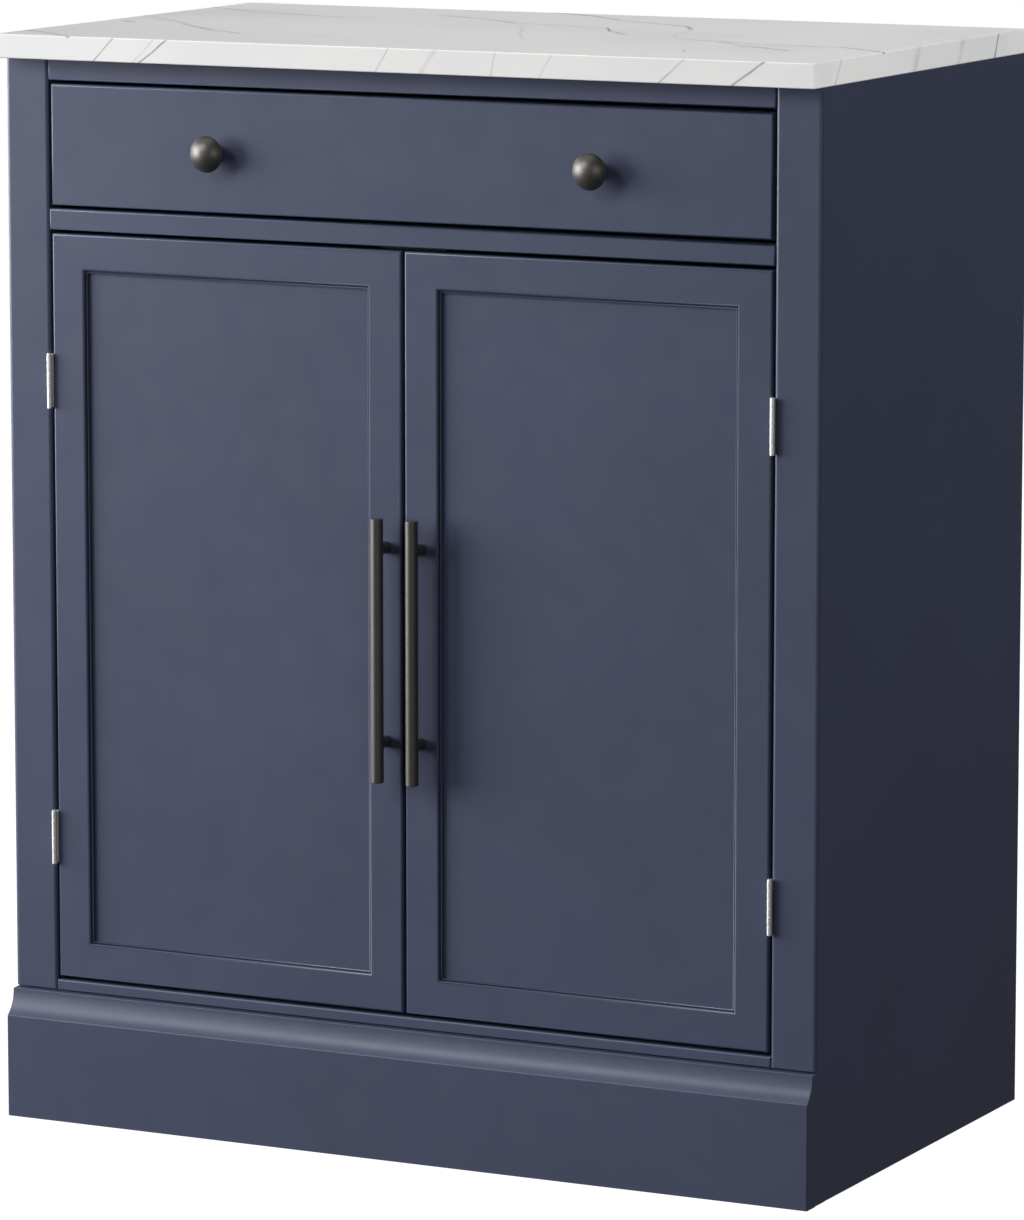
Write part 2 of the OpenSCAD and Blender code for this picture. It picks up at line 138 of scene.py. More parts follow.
def easedBoard(name, low, high, eased, material, segments=3):
    # a board between two corners; eased gives radii in millimetres by side or by pair of sides
    centre = (low + high) / 2
    bm = bmesh.new()
    bmesh.ops.create_cube(bm, size=1)
    for vert in bm.verts:
        vert.co = centre + vert.co * (high - low)
    weight = bm.edges.layers.float.new("bevel_weight_edge")
    widest = max(eased.values())
    for edge in bm.edges:
        edge[weight] = easeOf(edge, centre, eased) / widest
        edge.smooth = edge[weight] > 0
    return roundByWeight(objectFrom(name, bm, material), widest * mm, segments)


def vertsAt(bm, points):
    return [bm.verts.new(point) for point in points]


def bridge(bm, ring, following):
    # a band of faces between two rings of the same count
    for i in range(len(ring)):
        j = (i + 1) % len(ring)
        bm.faces.new([ring[i], ring[j], following[j], following[i]])


def arc(cx, cy, radius, start, end, steps):
    # points on an arc, angles in degrees
    turn = [math.radians(start + (end - start) * i / steps) for i in range(steps + 1)]
    return [(cx + radius * math.cos(a), cy + radius * math.sin(a)) for a in turn]


def lathe(name, centre, axis, profile, material, steps=64, sharpAngle=smoothUpTo):
    # profile holds (radius, distance along the axis) from one end to the other
    spin = Vector(axis).to_track_quat("Z", "Y")
    bm = bmesh.new()
    rings = []
    for radius, along in profile:
        if radius == 0:
            rings.append([bm.verts.new(Vector(centre) + spin @ Vector((0, 0, along)))])
            continue
        turns = [2 * math.pi * i / steps for i in range(steps)]
        ring = [Vector((radius * math.cos(t), radius * math.sin(t), along)) for t in turns]
        rings.append([bm.verts.new(Vector(centre) + spin @ point) for point in ring])
    for below, above in zip(rings, rings[1:]):
        for i in range(steps):
            j = (i + 1) % steps
            corners = [ring[k % len(ring)] for ring, k in ((below, i), (below, j), (above, j), (above, i))]
            bm.faces.new(list(dict.fromkeys(corners)))
    for ring in (rings[0], rings[-1]):
        if len(ring) > 1:
            bm.faces.new(ring)
    return weighNormals(objectFrom(name, bm, material, sharpAngle))


def joined(name, pieces):
    # melts several meshes into one object, modifiers applied
    graph = bpy.context.evaluated_depsgraph_get()
    bm = bmesh.new()
    materials = []
    for piece in pieces:
        mesh = bpy.data.meshes.new_from_object(piece.evaluated_get(graph))
        for material in mesh.materials:
            if material not in materials:
                materials.append(material)
        slotOf = [materials.index(material) for material in mesh.materials]
        for polygon in mesh.polygons:
            polygon.material_index = slotOf[polygon.material_index]
        bm.from_mesh(mesh)
        bpy.data.meshes.remove(mesh)
        bpy.data.objects.remove(piece)
    mesh = bpy.data.meshes.new(name)
    bm.to_mesh(mesh)
    bm.free()
    for material in materials:
        mesh.materials.append(material)
    mesh.set_sharp_from_angle(angle=math.radians(smoothUpTo))
    return weighNormals(newObject(name, mesh))


# small tools for node trees

def setInputs(tree, node, values):
    # values may be numbers, vectors or the outputs of other nodes, by the socket's name or number
    for label, value in values.items():
        if isinstance(value, bpy.types.NodeSocket):
            tree.links.new(value, node.inputs[label])
        else:
            node.inputs[label].default_value = value
    return node


def addNode(tree, kind, values=(), **settings):
    node = tree.nodes.new(kind)
    for key, value in settings.items():
        setattr(node, key, value)
    return setInputs(tree, node, dict(values))


def maths(tree, operation, *terms):
    return addNode(tree, "ShaderNodeMath", enumerate(terms), operation=operation).outputs[0]


def vectorMaths(tree, operation, *terms):
    return addNode(tree, "ShaderNodeVectorMath", enumerate(terms), operation=operation)


def newMaterial(name):
    material = bpy.data.materials.new(name)
    material.use_nodes = True
    tree = material.node_tree
    shader = tree.nodes["Principled BSDF"]
    coords = addNode(tree, "ShaderNodeTexCoord").outputs["Object"]
    return material, tree, shader, coords


def noise(tree, coords, scale, detail=2.0, stretch=(1, 1, 1), roughness=0.5):
    mapping = addNode(tree, "ShaderNodeMapping", {"Vector": coords, "Scale": stretch})
    return addNode(tree, "ShaderNodeTexNoise", {
        "Vector": mapping.outputs["Vector"], "Scale": scale, "Detail": detail, "Roughness": roughness,
    }).outputs["Fac"]


def ramp(tree, factor, stops):
    node = addNode(tree, "ShaderNodeValToRGB")
    while len(node.color_ramp.elements) < len(stops):
        node.color_ramp.elements.new(0.5)
    for element, (position, colour) in zip(node.color_ramp.elements, stops):
        element.position = position
        element.color = (*colour, 1)
    tree.links.new(factor, node.inputs["Fac"])
    return node.outputs["Color"]


def spread(tree, factor, low, high):
    # noise turned into values from low to high
    return addNode(tree, "ShaderNodeMapRange", {
        "Value": factor, "From Min": 0.3, "From Max": 0.7, "To Min": low, "To Max": high,
    }).outputs["Result"]


def bump(tree, shader, height, distance):
    node = addNode(tree, "ShaderNodeBump", {"Height": height, "Distance": distance, "Strength": 1.0})
    setInputs(tree, shader, {"Normal": node.outputs["Normal"]})


def shade(colour, factor):
    return tuple(channel * factor for channel in colour)


# finishes

bluePaint = {
    "colour": (0.059, 0.069, 0.121),
    "toneSpread": 0.035,      # lighter and darker clouds in the lacquer
    "roughness": (0.36, 0.41),
    "specular": 0.42,
    "peelScale": 620,         # spray texture, bumps to a metre
    "peelHeight": 0.02 * mm,
}


def makePaint(name):
    material, tree, shader, coords = newMaterial(name)
    low = shade(bluePaint["colour"], 1 - bluePaint["toneSpread"])
    high = shade(bluePaint["colour"], 1 + bluePaint["toneSpread"])
    clouds = noise(tree, coords, 5.0, detail=3)
    smears = noise(tree, coords, 38.0, detail=4)
    setInputs(tree, shader, {
        "Base Color": ramp(tree, clouds, [(0.35, low), (0.65, high)]),
        "Roughness": spread(tree, smears, *bluePaint["roughness"]),
        "Specular IOR Level": bluePaint["specular"],
    })
    peel = noise(tree, coords, bluePaint["peelScale"], detail=2)
    bump(tree, shader, peel, bluePaint["peelHeight"])
    return material


marble = {
    "ground": (0.722, 0.722, 0.714),
    "cloud": (0.675, 0.678, 0.682),
    "ink": (0.14, 0.145, 0.155),
    "roughness": (0.30, 0.33),
    "topWidth": 1.25,
    "topInk": 1.6,
    "edgeWidth": 1.2,
    "drift": {"Scale": 24, "Detail": 5},
    "wander": 8 * mm,          # how far the veins stray from their straight runs
    # the directions in which the veins of each face stray
    "strayAlong": {"top": (1, 1, 0), "front": (1, 0, 0), "right": (0, 1, 0)},
    # points in metres from the worktop's centre line and the face frame, on the top face
    "topVeins": [
        {"run": [(-.372, .350), (-.315, .320), (-.265, .302), (-.205, .287)], "width": 3.2, "ink": .30},
        {"run": [(-.372, .232), (-.305, .175), (-.265, .130)], "width": 5.0, "ink": .14},
        {"run": [(-.265, .130), (-.230, .100), (-.190, .075)], "width": 2.0, "ink": .48},
        {"run": [(-.372, .032), (-.332, .010), (-.300, -.017)], "width": 2.0, "ink": .40},
        {"run": [(-.352, .165), (-.338, .155)], "width": 3.0, "ink": .40},
        {"run": [(-.075, .420), (-.020, .395), (.025, .355), (.105, .315), (.125, .280)],
         "width": 3.0, "ink": .36},
        {"run": [(-.140, .345), (-.080, .315), (-.045, .290)], "width": 6.0, "ink": .20},
        {"run": [(-.045, .290), (-.015, .250), (.010, .190), (.045, .125)], "width": 1.5, "ink": .12},
        {"run": [(.052, .270), (.072, .235), (.100, .205)], "width": 1.3, "ink": .75},
        {"run": [(-.045, .290), (.020, .275), (.052, .262)], "width": 5.0, "ink": .12},
        {"run": [(.125, .280), (.140, .215), (.160, .180)], "width": 1.5, "ink": .10},
        {"run": [(.160, .180), (.205, .168), (.235, .155), (.290, .150), (.320, .152)],
         "width": 2.4, "ink": .38},
        {"run": [(.320, .152), (.345, .135), (.372, .116)], "width": 1.8, "ink": .72},
        {"run": [(.205, .160), (.245, .132), (.268, .118)], "width": 2.4, "ink": .25},
        {"run": [(.235, .130), (.262, .118), (.298, .098)], "width": 1.6, "ink": .62},
        {"run": [(.215, .075), (.228, .048)], "width": 1.6, "ink": .22},
    ],
    # (x at the top, x at the bottom) of the veins that cross the front edge
    "frontVeins": [
        {"run": (-.257, -.277), "width": 1.0, "ink": .50},
        {"run": (-.219, -.240), "width": 0.9, "ink": .22},
        {"run": (-.207, -.234), "width": 1.1, "ink": .70},
        {"run": (-.004, -.016), "width": 1.0, "ink": .30},
        {"run": (.038, .026), "width": 3.0, "ink": .16},
        {"run": (.093, .087), "width": 1.1, "ink": .22},
        {"run": (.143, .132), "width": 1.0, "ink": .16},
        {"run": (.259, .236), "width": 1.1, "ink": .36},
        {"run": (.328, .299), "width": 1.3, "ink": .72},
    ],
    # (y at the top, y at the bottom) on the right edge
    "rightVeins": [
        {"run": (.036, .024), "width": 1.5, "ink": .35},
        {"run": (.190, .180), "width": 7.0, "ink": .16},
        {"run": (.280, .270), "width": 6.0, "ink": .16},
        {"run": (.355, .346), "width": 1.8, "ink": .85},
    ],
}


def veinGroup():
    # ink left by one straight run of a vein: full on its line, fading out at its width
    tree = bpy.data.node_groups.new("veinRun", "ShaderNodeTree")
    sockets = {"Point": "Vector", "Start": "Vector", "End": "Vector", "Width": "Float", "Ink": "Float"}
    for label, kind in sockets.items():
        tree.interface.new_socket(label, in_out="INPUT", socket_type="NodeSocket" + kind)
    tree.interface.new_socket("Ink", in_out="OUTPUT", socket_type="NodeSocketFloat")
    given = addNode(tree, "NodeGroupInput").outputs
    reach = vectorMaths(tree, "SUBTRACT", given["End"], given["Start"]).outputs["Vector"]
    away = vectorMaths(tree, "SUBTRACT", given["Point"], given["Start"]).outputs["Vector"]
    along = vectorMaths(tree, "DOT_PRODUCT", away, reach).outputs["Value"]
    squared = vectorMaths(tree, "DOT_PRODUCT", reach, reach).outputs["Value"]
    share = addNode(tree, "ShaderNodeClamp", {"Value": maths(tree, "DIVIDE", along, squared)})
    foot = setInputs(tree, vectorMaths(tree, "SCALE", reach), {"Scale": share.outputs["Result"]})
    gap = vectorMaths(tree, "DISTANCE", away, foot.outputs["Vector"]).outputs["Value"]
    near = maths(tree, "SUBTRACT", 1.0, maths(tree, "DIVIDE", gap, given["Width"]))
    fall = maths(tree, "POWER", maths(tree, "MAXIMUM", near, 0.0), 1.5)
    addNode(tree, "NodeGroupOutput", {"Ink": maths(tree, "MULTIPLY", fall, given["Ink"])})
    return tree


def veinRuns():
    # every run of every vein as (face, start, end, width, ink), in the frame
    low, high = boxOf("countertop")
    for vein in marble["topVeins"]:
        points = [Vector((x, faceY + y, high.z)) for x, y in vein["run"]]
        for start, end in zip(points, points[1:]):
            yield "top", start, end, vein["width"] * marble["topWidth"] * mm, vein["ink"] * marble["topInk"]
    for vein in marble["frontVeins"]:
        upper, lower = vein["run"]
        start, end = Vector((upper, low.y, high.z)), Vector((lower, low.y, low.z))
        yield "front", start, end, vein["width"] * marble["edgeWidth"] * mm, vein["ink"]
    for vein in marble["rightVeins"]:
        upper, lower = (faceY + y for y in vein["run"])
        start, end = Vector((high.x, upper, high.z)), Vector((high.x, lower, low.z))
        yield "right", start, end, vein["width"] * marble["edgeWidth"] * mm, vein["ink"]


def makeMarble(name):
    material, tree, shader, coords = newMaterial(name)
    group = veinGroup()
    drift = addNode(tree, "ShaderNodeTexNoise", {"Vector": coords, **marble["drift"]})
    centred = vectorMaths(tree, "SUBTRACT", drift.outputs["Color"], (0.5, 0.5, 0.5)).outputs["Vector"]
    points = {}
    for face, along in marble["strayAlong"].items():
        reach = tuple(marble["wander"] * share for share in along)
        stray = vectorMaths(tree, "MULTIPLY", centred, reach)
        points[face] = vectorMaths(tree, "ADD", coords, stray.outputs["Vector"]).outputs["Vector"]
    ink = None
    for face, start, end, width, strength in veinRuns():
        values = {"Point": points[face], "Start": start, "End": end, "Width": width, "Ink": strength}
        run = addNode(tree, "ShaderNodeGroup", node_tree=group)
        setInputs(tree, run, values)
        ink = run.outputs["Ink"] if ink is None else maths(tree, "MAXIMUM", ink, run.outputs["Ink"])
    broken = spread(tree, noise(tree, coords, 40, detail=4), 1.0, 2.1)
    ink = maths(tree, "MULTIPLY", ink, broken)
    clouds = noise(tree, coords, 5.0, detail=3, stretch=(1, 1.8, 1), roughness=0.45)
    ground = ramp(tree, clouds, [(0.36, marble["cloud"]), (0.52, marble["ground"])])
    # sockets 6 and 7 are the two colours of the mix, output 2 is its colour
    mix = addNode(tree, "ShaderNodeMix", {"Factor": ink, 6: ground, 7: (*marble["ink"], 1)}, data_type="RGBA")
    polish = noise(tree, coords, 3, detail=1)
    setInputs(tree, shader, {
        "Base Color": mix.outputs[2], "Roughness": spread(tree, polish, *marble["roughness"]),
    })
    return material


birch = {
    "light": (0.66, 0.50, 0.31),
    "dark": (0.50, 0.34, 0.19),
    "roughness": (0.48, 0.62),
    "edgeRoughness": (0.62, 0.75),
    "grainScale": 130,
    "grainStretch": 0.035,    # along the grain
    "plies": 7,
}


def makeBirch(name, grainAxis):
    material, tree, shader, coords = newMaterial(name)
    stretch = [1.0, 1.0, 1.0]
    stretch[grainAxis] = birch["grainStretch"]
    grain = noise(tree, coords, birch["grainScale"], detail=6, stretch=stretch, roughness=0.62)
    figure = noise(tree, coords, 9, detail=3, stretch=stretch)
    mixed = maths(tree, "MULTIPLY_ADD", figure, 0.45, maths(tree, "MULTIPLY", grain, 0.55))
    setInputs(tree, shader, {
        "Base Color": ramp(tree, mixed, [(0.36, birch["dark"]), (0.60, birch["light"])]),
        "Roughness": spread(tree, grain, *birch["roughness"]),
    })
    bump(tree, shader, grain, 0.05 * mm)
    return material


def makePlyEdge(name, acrossAxis, low, thickness):
    # the sawn edge of plywood: light and dark veneers in turn through the thickness
    material, tree, shader, coords = newMaterial(name)
    split = addNode(tree, "ShaderNodeSeparateXYZ", {"Vector": coords})
    depth = maths(tree, "SUBTRACT", maths(tree, "ABSOLUTE", split.outputs[acrossAxis]), low)
    layer = maths(tree, "FRACT", maths(tree, "MULTIPLY", depth, birch["plies"] / 2 / thickness))
    fibre = noise(tree, coords, 420, detail=3, stretch=(1, 0.12, 1))
    tone = maths(tree, "ADD", layer, maths(tree, "MULTIPLY", fibre, 0.25))
    stops = [(0.42, shade(birch["light"], 0.98)), (0.62, shade(birch["dark"], 0.62)), (1.0, birch["light"])]
    setInputs(tree, shader, {
        "Base Color": ramp(tree, tone, stops), "Roughness": spread(tree, fibre, *birch["edgeRoughness"]),
    })
    bump(tree, shader, fibre, 0.06 * mm)
    return material


metals = {
    "gunmetal": {"colour": (0.118, 0.115, 0.107), "spread": 0.06, "roughness": (0.44, 0.49), "metallic": 0.8,
                 "scale": 900, "stretch": (1, 1, 1), "height": 0.0015},
    "hingeSteel": {"colour": (0.90, 0.90, 0.88), "spread": 0.03, "roughness": (0.36, 0.42), "metallic": 0.6,
                   "scale": 900, "stretch": (1, 1, 0.25), "height": 0.0010},
    "zincSteel": {"colour": (0.60, 0.61, 0.63), "spread": 0.10, "roughness": (0.28, 0.42), "metallic": 1.0,
                  "scale": 160, "stretch": (1, 0.1, 1), "height": 0.008},
}


def makeMetal(name):
    metal = metals[name]
    material, tree, shader, coords = newMaterial(name)
    low = shade(metal["colour"], 1 - metal["spread"])
    high = shade(metal["colour"], 1 + metal["spread"])
    grain = noise(tree, coords, metal["scale"], detail=3, stretch=metal["stretch"])
    setInputs(tree, shader, {
        "Base Color": ramp(tree, grain, [(0.3, low), (0.7, high)]),
        "Roughness": spread(tree, grain, *metal["roughness"]),
        "Metallic": metal["metallic"],
    })
    bump(tree, shader, grain, metal["height"] * mm)
    return material


plastic = {"low": (0.022, 0.020, 0.019), "high": (0.030, 0.028, 0.026), "roughness": (0.42, 0.55)}


def makePlastic(name):
    material, tree, shader, coords = newMaterial(name)
    grain = noise(tree, coords, 700, detail=2)
    stops = [(0.3, plastic["low"]), (0.7, plastic["high"])]
    setInputs(tree, shader, {
        "Base Color": ramp(tree, grain, stops), "Roughness": spread(tree, grain, *plastic["roughness"]),
    })
    bump(tree, shader, grain, 0.02 * mm)
    return material


paint = makePaint("bluePaint")
stone = makeMarble("marbleLaminate")
birchAlong = makeBirch("birchAlongDrawer", 1)
birchAcross = makeBirch("birchAcrossDrawer", 0)
gunmetal = makeMetal("gunmetal")
hingeSteel = makeMetal("hingeSteel")
zincSteel = makeMetal("zincSteel")
catchPlastic = makePlastic("catchPlastic")
print("finishes made:", len(bpy.data.materials))


# carcass boards

worktop = {"eased": 1.0}


def makeWorktop():
    low, high = boxOf("countertop")
    eased = {side: worktop["eased"] for side in boardSides}
    piece = easedBoard("worktop", low, high, eased, stone, segments=4)
    return place(piece, "carcass", "marble_laminate", "countertop")


makeWorktop()

planted = {"outerEdge": 3.5, "innerEdge": 3.0, "railEdge": 1.8, "footEdge": 0.6,
           "slotHeight": 1.2, "slotDepth": 4.0, "slotInset": 0.1, "floorEdge": 0.8}
outerEdgeOf = {"left": "left front", "right": "right front"}
innerEdgeOf = {"left": "right front", "right": "left front"}


def plantedBoard(name, node, eased):
    # eased above the plinth, square where the plinth is planted on it, a shadow line between the two
    low, high = boxOf(node)
    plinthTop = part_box("plinth")[1].z
    eased = {**eased, "front bottom": planted["footEdge"]}
    slotTop, slotDepth = plinthTop + planted["slotHeight"] * mm, planted["slotDepth"] * mm
    inset = planted["slotInset"] * mm
    upper = easedBoard("upper", Vector((low.x, low.y, slotTop)), high, eased, paint, segments=5)
    lowerHigh = Vector((high.x, high.y, plinthTop))
    lower = easedBoard("lower", low, lowerHigh, {"bottom": planted["floorEdge"]}, paint)
    neckLow = Vector((low.x + inset, low.y + slotDepth, plinthTop - inset))
    neckHigh = Vector((high.x - inset, high.y - inset, slotTop + inset))
    neck = easedBoard("neck", neckLow, neckHigh, {"front": inset / mm}, paint, segments=1)
    return place(joined(name, [upper, lower, neck]), "carcass", "blue_paint", node)


def makeStile(side):
    eased = {outerEdgeOf[side]: planted["outerEdge"], innerEdgeOf[side]: planted["innerEdge"]}
    return plantedBoard(side + "Stile", side + "_face_stile", eased)


paintedBoards = {
    "topRail": {"node": "top_face_rail", "eased": {"front": 1.7}},
    "midRail": {"node": "mid_face_rail", "eased": {"front": 1.7}},
    "divider": {"node": "drawer_divider", "eased": {"rear": 0.8}},
    "bottomBoard": {"node": "bottom_panel", "eased": {"rear": 0.8}},
    "backBoard": {"node": "back_panel", "eased": {"rear": 0.5}},
    "rearStretcher": {"node": "rear_stretcher", "eased": {"front bottom": 1.2, "rear bottom": 1.2}},
    "toeBoard": {"node": "rear_toe_board", "eased": {"rear": 0.8, "bottom": 0.8}},
    "shelfBoard": {"node": "shelf", "eased": {"front": 1.4, "rear": 1.0, "left": 1.0, "right": 1.0}},
}


def makePaintedBoard(name):
    board = paintedBoards[name]
    low, high = boxOf(board["node"])
    piece = easedBoard(name, low, high, board["eased"], paint)
    return place(piece, "carcass", "blue_paint", board["node"])


sidePanels = {"eased": 1.2}


def makeSidePanel(side):
    # the CAD board with its groove and pin holes, its outer rear and bottom edges eased
    node = side + "_side_panel"
    low, high = boxOf(node)
    bm = bmesh.new()
    bm.from_mesh(frame["nodes"][node].data)
    bmesh.ops.remove_doubles(bm, verts=bm.verts, dist=0.01 * mm)
    bmesh.ops.dissolve_limit(bm, angle_limit=math.radians(1), verts=bm.verts, edges=bm.edges)
    weight = bm.edges.layers.float.new("bevel_weight_edge")
    tiny = 0.05 * mm
    for edge in bm.edges:
        rear = all(abs(v.co.y - high.y) < tiny for v in edge.verts)
        foot = all(abs(v.co.z - low.z) < tiny for v in edge.verts)
        flank = all(min(abs(v.co.x - low.x), abs(v.co.x - high.x)) < tiny for v in edge.verts)
        if flank and (rear or foot) and abs(edge.verts[0].co.x - edge.verts[1].co.x) < tiny:
            edge[weight] = 1
    piece = objectFrom(side + "SidePanel", bm, paint, smoothUpTo)
    roundByWeight(piece, sidePanels["eased"] * mm, 2)
    return place(piece, "carcass", "blue_paint", node)


for side in sideNames:
    makeStile(side)
    makeSidePanel(side)
plantedBoard("bottomRail", "bottom_face_rail", {"front": planted["railEdge"]})
for name in paintedBoards:
    makePaintedBoard(name)
print("carcass boards made")


# plinth

plinth = {"ledge": 5.8, "coveRadius": 28, "topEdge": 0.8, "lipEdge": 0.7, "endEdge": 1.0, "coveSteps": 18}


def makePlinth():
    # outline in (y, z): flat face, a sharp lip, the cove, the ledge and the back
    low, high = boxOf("plinth")
    radius = plinth["coveRadius"] * mm
    ledge = plinth["ledge"] * mm
    centreY = high.y - ledge - radius
    lipZ = high.z - math.sqrt(radius ** 2 - (low.y - centreY) ** 2)
    lipAngle = math.degrees(math.atan2(lipZ - high.z, low.y - centreY))
    cove = arc(centreY, high.z, radius, lipAngle, 0, plinth["coveSteps"])
    outline = [(low.y, low.z), *cove, (high.y, high.z), (high.y, low.z)]
    bm = bmesh.new()
    ends = [vertsAt(bm, [(x, y, z) for y, z in outline]) for x in (low.x, high.x)]
    bridge(bm, *ends)
    for end in ends:
        bm.faces.new(end)
    weight = bm.edges.layers.float.new("bevel_weight_edge")
    widest = max(plinth[key] for key in ("topEdge", "lipEdge", "endEdge"))
    for i, key in ((1, "lipEdge"), (1 + plinth["coveSteps"], "topEdge")):
        bm.edges.get((ends[0][i], ends[1][i]))[weight] = plinth[key] / widest
    for end in ends:
        for i in range(2 + plinth["coveSteps"]):
            edge = bm.edges.get((end[i], end[i + 1]))
            edge[weight] = plinth["endEdge"] / widest
    piece = objectFrom("plinthBoard", bm, paint, smoothUpTo)
    roundByWeight(piece, widest * mm, 3)
    return place(piece, "carcass", "blue_paint", "plinth")


makePlinth()
print("plinth made")


# doors

doors = {
    "outerEdge": 2.0,
    "rearEdge": 1.0,
    "innerEdge": (2.2, 1.5),      # across the member and into its depth
    "creviceWidth": 0.9,
    "creviceDepth": 4.7,
    "beadWidth": 0.9,
    "beadDrop": 2.2,
    "beadEdge": 0.1,              # towards the crevice
    "beadChamfer": (0.75, 0.36),  # towards the field, across and into the depth
    "groove": 8,                  # how far the panel runs into the frame
    "panelEdge": 0.6,
    "smoothUpTo": 40,
}


def doorProfile(width, thickness, fieldFront, fieldRear):
    # once round the section of a frame member, in (distance from the door's outer edge, depth), millimetres
    outer, rear = doors["outerEdge"], doors["rearEdge"]
    across, deep = doors["innerEdge"]
    beadLow = width - doors["beadWidth"]
    creviceLow = beadLow - doors["creviceWidth"]
    drop, near, groove = doors["beadDrop"], doors["beadEdge"], doors["groove"]
    chamferAcross, chamferDeep = doors["beadChamfer"]
    innerArc = [(creviceLow - across * (1 - x), deep * (1 + y)) for x, y in arc(0, 0, 1, 270, 360, 7)]
    return [
        *arc(outer, outer, outer, 180, 270, 4),
        *innerArc,
        (creviceLow, doors["creviceDepth"]),
        (beadLow, doors["creviceDepth"]),
        *arc(beadLow + near, drop + near, near, 180, 270, 2),
        (width - chamferAcross, drop),
        (width, drop + chamferDeep),
        (width, fieldFront),
        (width - groove, fieldFront),
        (width - groove, fieldRear),
        (width, fieldRear),
        *arc(width - rear, thickness - rear, rear, 0, 90, 3),
        *arc(rear, thickness - rear, rear, 90, 180, 3),
    ]


def makeDoorFrame(side):
    members = [side + "_door_" + part for part in ("hinge_stile", "lock_stile", "top_rail", "bottom_rail")]
    low, high = boxOf(*members)
    panelLow, panelHigh = boxOf(side + "_door_panel")
    stileLow, stileHigh = boxOf(members[0])
    width = (stileHigh.x - stileLow.x) / mm
    depths = [(y - low.y) / mm for y in (high.y, panelLow.y, panelHigh.y)]
    profile = doorProfile(width, *depths)
    bm = bmesh.new()
    rings = []
    for inset, depth in profile:
        x0, x1, z0, z1 = low.x + inset * mm, high.x - inset * mm, low.z + inset * mm, high.z - inset * mm
        y = low.y + depth * mm
        rings.append(vertsAt(bm, ((x0, y, z0), (x1, y, z0), (x1, y, z1), (x0, y, z1))))
    for ring, following in zip(rings, rings[1:] + rings[:1]):
        bridge(bm, ring, following)
    piece = objectFrom(side + "DoorFrame", bm, paint, doors["smoothUpTo"])
    weighNormals(piece)
    return place(piece, side + "_door", "blue_paint", *members)


def makeDoorPanel(side):
    node = side + "_door_panel"
    low, high = boxOf(node)
    eased = {"front": doors["panelEdge"], "rear": doors["panelEdge"]}
    piece = easedBoard(side + "DoorPanel", low, high, eased, paint, segments=2)
    return place(piece, side + "_door", "blue_paint", node)


for side in sideNames:
    makeDoorFrame(side)
    makeDoorPanel(side)
print("doors made")


# drawer

drawer = {"frontEdge": 2.0, "rearEdge": 1.0, "sideEdge": 0.8, "plainEdge": 0.4, "plyEdgeUp": 0.98}


def makeDrawerFront():
    low, high = boxOf("drawer_front")
    eased = {"front": drawer["frontEdge"], "rear": drawer["rearEdge"]}
    piece = easedBoard("drawerFront", low, high, eased, paint, segments=4)
    return place(piece, "drawer", "blue_paint", "drawer_front")


def makeDrawerBoard(name, node, material, acrossAxis):
    low, high = boxOf(node)
    eased = {side: drawer["sideEdge"] for side in boardSides}
    piece = easedBoard(name, low, high, eased, material)
    inner = min(abs(low[acrossAxis]), abs(high[acrossAxis]))
    if acrossAxis == 1:
        inner = low.y
    edge = makePlyEdge(name + "Edge", acrossAxis, inner, high[acrossAxis] - low[acrossAxis])
    piece.data.materials.append(edge)
    for polygon in piece.data.polygons:
        if abs(polygon.normal.z) > drawer["plyEdgeUp"]:
            polygon.material_index = 1
    return place(piece, "drawer", "birch_board", node)


def makeBirchBoard(name, node, body, material):
    low, high = boxOf(node)
    eased = {side: drawer["plainEdge"] for side in boardSides}
    piece = easedBoard(name, low, high, eased, material, segments=2)
    return place(piece, body, "birch_board", node)


makeDrawerFront()
for side in sideNames:
    makeDrawerBoard(side + "DrawerSide", "drawer_" + side + "_side", birchAlong, 0)
    makeBirchBoard(side + "Packer", side + "_slide_spacer", "carcass", birchAlong)
makeDrawerBoard("drawerBack", "drawer_back", birchAcross, 1)
makeBirchBoard("drawerBottom", "drawer_bottom", "drawer", birchAcross)
print("drawer made")


# drawer slides

slides = {
    "metal": 1.2,
    "bend": 1.6,
    "lip": 3.7,
    "members": {
        "outer": {"node": "slide_outer", "lips": True},
        "middle": {"node": "slide_middle", "lips": False},
        "inner": {"node": "slide_inner", "lips": False},
    },
}


def roundedPath(points, radius, steps=4):
    # a polyline with its inner corners turned into arcs
    path = [Vector(points[0])]
    for before, corner, after in zip(points, points[1:], points[2:]):
        corner = Vector(corner)
        back = (Vector(before) - corner).normalized()
        on = (Vector(after) - corner).normalized()
        start, end = corner + back * radius, corner + on * radius
        for i in range(steps + 1):
            t = i / steps
            path.append(start * (1 - t) ** 2 + corner * 2 * t * (1 - t) + end * t ** 2)
    path.append(Vector(points[-1]))
    return path


def stripOutline(path, thickness):
    # a strip of sheet metal whose outside follows the path, as a closed outline
    offset = []
    for i, point in enumerate(path):
        run = path[min(i + 1, len(path) - 1)] - path[max(i - 1, 0)]
        normal = Vector((-run.y, run.x)).normalized()
        offset.append(point + normal * thickness)
    return path + offset[::-1]


